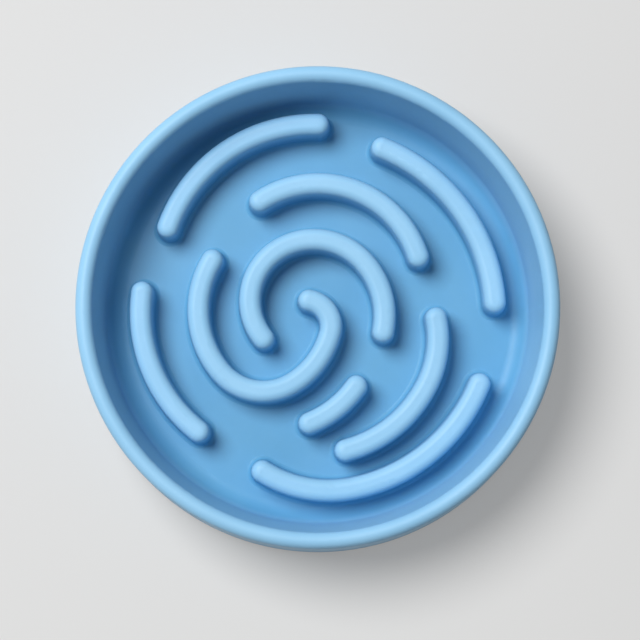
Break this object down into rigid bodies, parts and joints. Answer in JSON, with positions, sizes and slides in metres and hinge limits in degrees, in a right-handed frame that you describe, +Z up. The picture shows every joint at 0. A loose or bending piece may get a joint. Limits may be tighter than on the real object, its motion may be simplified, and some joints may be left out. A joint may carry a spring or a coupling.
{
  "type": "slow feeder bowl",
  "caption": "Round pet bowl with a maze of raised curved ridges on its floor that slows eating, on non-slip feet.",
  "frame": {"origin": "centre of the bowl on the table, in the plane of the feet's lower faces", "axes": "+Z up along the bowl's axis; seen from above, +X is to the right of the picture and +Y to its top"},
  "size_m": [0.214, 0.214, 0.05],
  "materials": {
    "bowl_plastic": "satin",
    "foot_rubber": "matte"
  },
  "bodies": {
    "root": {"bowl_body": "bowl_plastic", "foot_1": "foot_rubber", "foot_2": "foot_rubber", "foot_3": "foot_rubber", "foot_4": "foot_rubber", "foot_5": "foot_rubber", "foot_6": "foot_rubber"}
  },
  "joints": []
}
